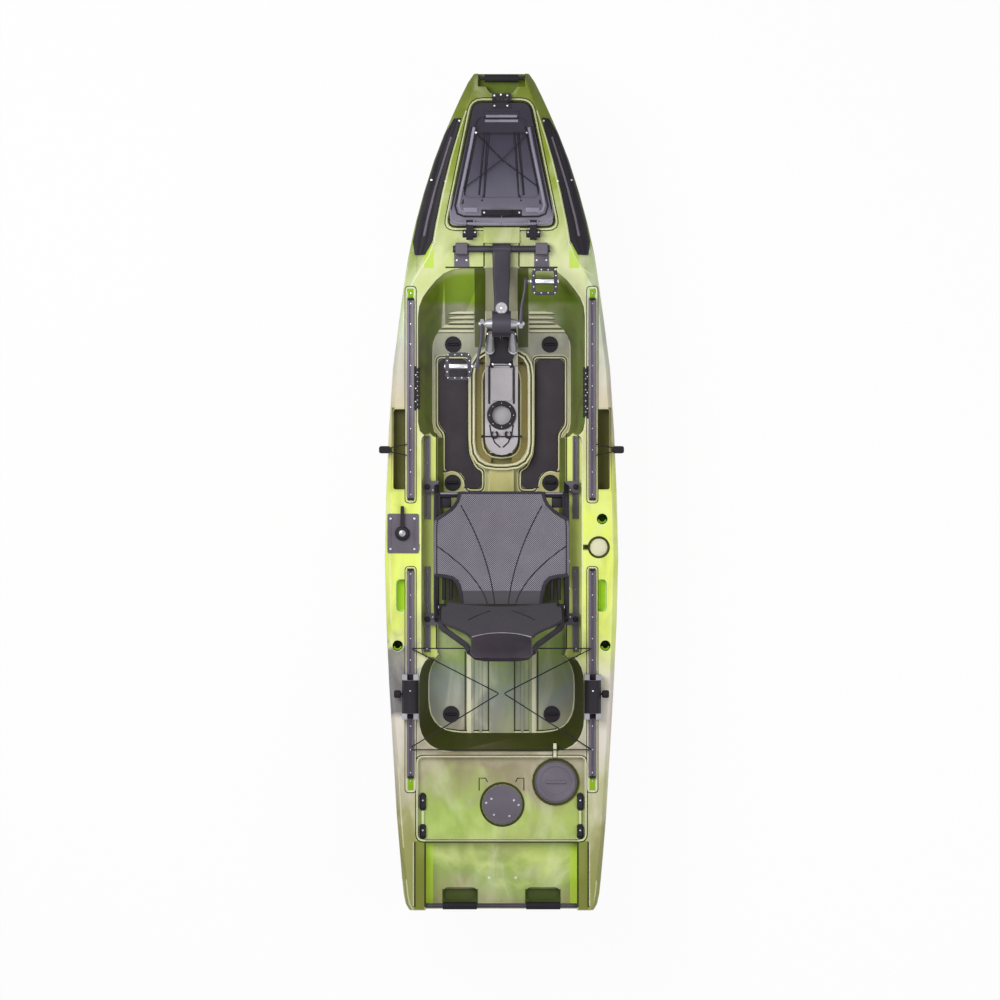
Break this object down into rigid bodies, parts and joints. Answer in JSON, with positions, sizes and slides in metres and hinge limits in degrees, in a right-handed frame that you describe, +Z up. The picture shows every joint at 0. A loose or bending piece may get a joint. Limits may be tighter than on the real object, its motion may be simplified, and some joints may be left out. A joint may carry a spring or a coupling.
{
  "type": "pedal kayak",
  "caption": "Sit-on-top pedal kayak with a moulded hull, swing-up propeller drive, sliding framed seat, hinged bow hatch, gear rails and rudder steering.",
  "frame": {"origin": "amidships on the flat of the keel", "axes": "+X to the right side of the boat seen from above with the bow up, +Y to the bow, +Z up"},
  "size_m": [1.072, 3.66, 1.0028],
  "materials": {
    "hull_plastic": "satin, mottled lime and olive",
    "lid_plastic": "satin dark grey",
    "black_plastic": "satin black",
    "grey_plastic": "satin light grey",
    "rubber": "matte black",
    "black_metal": "black anodised",
    "steel": "brushed",
    "mesh_fabric": "woven mesh",
    "foam": "textured foam",
    "cord": "braided sleeve"
  },
  "bodies": {
    "hull": {"hull": "hull_plastic", "hatch_seal": "rubber", "hatch_hinge_base": "black_plastic", "bow_grip": "rubber", "bow_side_panel_right": "black_plastic", "bow_side_panel_left": "black_plastic", "stern_carry_bar": "rubber", "side_toggle_right": "rubber", "side_toggle_left": "rubber", "gear_rail_front_left": "black_metal", "gear_rail_rear_left": "black_metal", "seat_rail_front_left": "black_metal", "seat_rail_rear_left": "black_metal", "gear_rail_front_right": "black_metal", "gear_rail_rear_right": "black_metal", "seat_rail_front_right": "black_metal", "seat_rail_rear_right": "black_metal", "crossbar": "black_metal", "bar_clamp_right": "black_plastic", "bar_clamp_left": "black_plastic", "cover_hinge_pin": "steel", "floor_pad_right": "foam", "floor_pad_left": "foam", "steering_plate": "black_plastic", "track_mount_right": "black_plastic", "track_mount_left": "black_plastic", "round_hatch_ring": "black_plastic", "mounting_plate": "black_plastic", "tankwell_bungee": "cord"},
    "bow_hatch": {"bow_hatch_lid": "lid_plastic", "hatch_hinge_leaf": "black_plastic", "lid_bungee": "cord", "lid_handle": "rubber"},
    "latch_left": {"latch_left": "rubber"},
    "latch_right": {"latch_right": "rubber"},
    "drive": {"drive_arm": "black_metal", "drive_head": "black_metal", "drive_leg": "black_metal", "leg_flange": "black_plastic", "gearcase": "black_metal"},
    "crank": {"crank_axle": "steel", "crank_left": "black_metal", "crank_right": "black_metal"},
    "pedal_left": {"pedal_left": "black_plastic"},
    "pedal_right": {"pedal_right": "black_plastic"},
    "drive_shaft": {"drive_shaft": "steel"},
    "prop": {"prop_shaft": "steel", "propeller": "black_plastic"},
    "well_cover": {"well_cover": "grey_plastic", "cover_cup": "black_plastic", "cover_hooks": "black_plastic"},
    "seat": {"seat_frame": "black_metal", "seat_sling": "mesh_fabric"},
    "seat_back": {"back_frame": "black_metal", "back_sling": "mesh_fabric"},
    "steering_lever": {"steering_lever": "black_plastic"},
    "rudder": {"rudder": "black_plastic"},
    "mount_knob_left": {"mount_knob_left": "rubber"},
    "mount_knob_right": {"mount_knob_right": "rubber"},
    "round_hatch_lid": {"round_hatch_lid": "black_plastic"}
  },
  "joints": [
    {"name": "hatch_hinge", "type": "hinge", "parent": "hull", "child": "bow_hatch", "pos_m": [0, 1.70701, 0.44085], "axis": [-1, 0, 0], "range_deg": [0, 105]},
    {"name": "latch_left_hinge", "type": "hinge", "parent": "bow_hatch", "child": "latch_left", "pos_m": [-0.139, 1.18333, 0.3915], "axis": [-1, 0, 0], "range_deg": [0, 110]},
    {"name": "latch_right_hinge", "type": "hinge", "parent": "bow_hatch", "child": "latch_right", "pos_m": [0.139, 1.18333, 0.3915], "axis": [-1, 0, 0], "range_deg": [0, 110]},
    {"name": "drive_tilt", "type": "hinge", "parent": "hull", "child": "drive", "pos_m": [0, 1.065, 0.3725], "axis": [-1, 0, 0], "range_deg": [0, 60]},
    {"name": "cover_flip", "type": "hinge", "parent": "hull", "child": "well_cover", "pos_m": [0, 0.178, 0.146], "axis": [1, 0, 0], "range_deg": [0, 90]},
    {"name": "crank_spin", "type": "hinge", "parent": "drive", "child": "crank", "pos_m": [0, 0.735, 0.45], "axis": [1, 0, 0], "continuous": true},
    {"name": "shaft_spin", "type": "hinge", "parent": "drive", "child": "drive_shaft", "pos_m": [0, 0.735, 0.45], "axis": [0, 0.1045, 0.9945], "continuous": true},
    {"name": "prop_spin", "type": "hinge", "parent": "drive", "child": "prop", "pos_m": [0, 0.67228, -0.14671], "axis": [0, 0.9945, -0.1045], "continuous": true},
    {"name": "pedal_left_spin", "type": "hinge", "parent": "crank", "child": "pedal_left", "pos_m": [-0.188, 0.55, 0.45], "axis": [1, 0, 0], "continuous": true},
    {"name": "pedal_right_spin", "type": "hinge", "parent": "crank", "child": "pedal_right", "pos_m": [0.188, 0.92, 0.45], "axis": [1, 0, 0], "continuous": true},
    {"name": "seat_slide", "type": "slide", "parent": "hull", "child": "seat", "axis": [0, 1, 0], "range_m": [-0.1, 0.1]},
    {"name": "back_fold", "type": "hinge", "parent": "seat", "child": "seat_back", "pos_m": [0, -0.5, 0.368], "axis": [-1, 0, 0], "range_deg": [0, 105]},
    {"name": "steering_turn", "type": "hinge", "parent": "hull", "child": "steering_lever", "pos_m": [-0.434, -0.178, 0.34], "axis": [0, 0, 1], "range_deg": [-45, 45]},
    {"name": "rudder_turn", "type": "hinge", "parent": "hull", "child": "rudder", "pos_m": [0, -1.742, 0.05], "axis": [0, 0, 1], "range_deg": [-36, 36]},
    {"name": "mount_knob_left_spin", "type": "hinge", "parent": "hull", "child": "mount_knob_left", "pos_m": [-0.455, -0.88, 0.3796], "axis": [1, 0, 0], "continuous": true},
    {"name": "mount_knob_right_spin", "type": "hinge", "parent": "hull", "child": "mount_knob_right", "pos_m": [0.455, -0.88, 0.3796], "axis": [1, 0, 0], "continuous": true},
    {"name": "round_hatch_lift", "type": "slide", "parent": "hull", "child": "round_hatch_lid", "axis": [0, 0, 1], "range_m": [0, 0.12]}
  ],
  "couplings": [
    {"joint": "cover_flip", "follows": "drive_tilt", "ratio": 1.5},
    {"joint": "shaft_spin", "follows": "crank_spin", "ratio": 3},
    {"joint": "prop_spin", "follows": "crank_spin", "ratio": 9},
    {"joint": "rudder_turn", "follows": "steering_turn", "ratio": -0.8}
  ]
}
